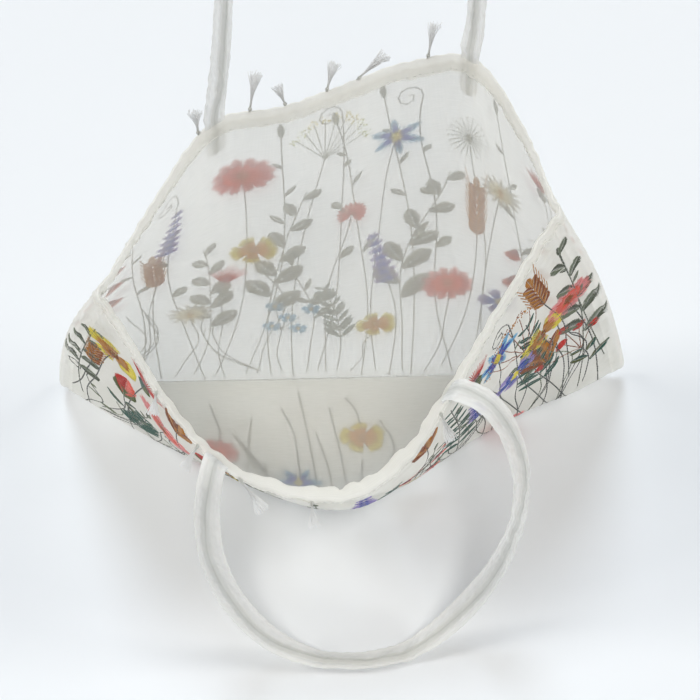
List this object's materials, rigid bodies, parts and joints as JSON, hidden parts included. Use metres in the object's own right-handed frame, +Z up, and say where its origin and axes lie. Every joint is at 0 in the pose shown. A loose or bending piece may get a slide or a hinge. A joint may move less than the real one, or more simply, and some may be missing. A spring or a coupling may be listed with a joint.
{
  "type": "shoulder bag",
  "caption": "Open sheer embroidered organza shoulder bag with lining, folded hem, narrow ribbon handles and thread tassels, set down on a surface.",
  "frame": {"origin": "on the surface the bag stands on, under the middle of its flat base", "axes": "+Z up, +X to the right along the bottom seam seen from the open front, +Y away from the open front"},
  "size_m": [0.4058, 0.2568, 0.5335],
  "materials": {
    "organza": "satin",
    "lining": "matte",
    "hem": "satin",
    "handle": "satin",
    "thread": "matte",
    "embroidery": "satin"
  },
  "bodies": {
    "root": {"back_panel": "organza", "front_panel": "organza", "lining": "lining", "hem_band": "hem", "handle_back": "handle", "handle_front": "handle", "tassel_back_1": "thread", "tassel_back_2": "thread", "tassel_back_3": "thread", "tassel_back_4": "thread", "tassel_back_5": "thread", "tassel_back_6": "thread", "tassel_front_1": "thread", "tassel_front_2": "thread", "tassel_front_3": "thread", "tassel_front_4": "thread", "tassel_front_5": "thread"}
  },
  "joints": []
}
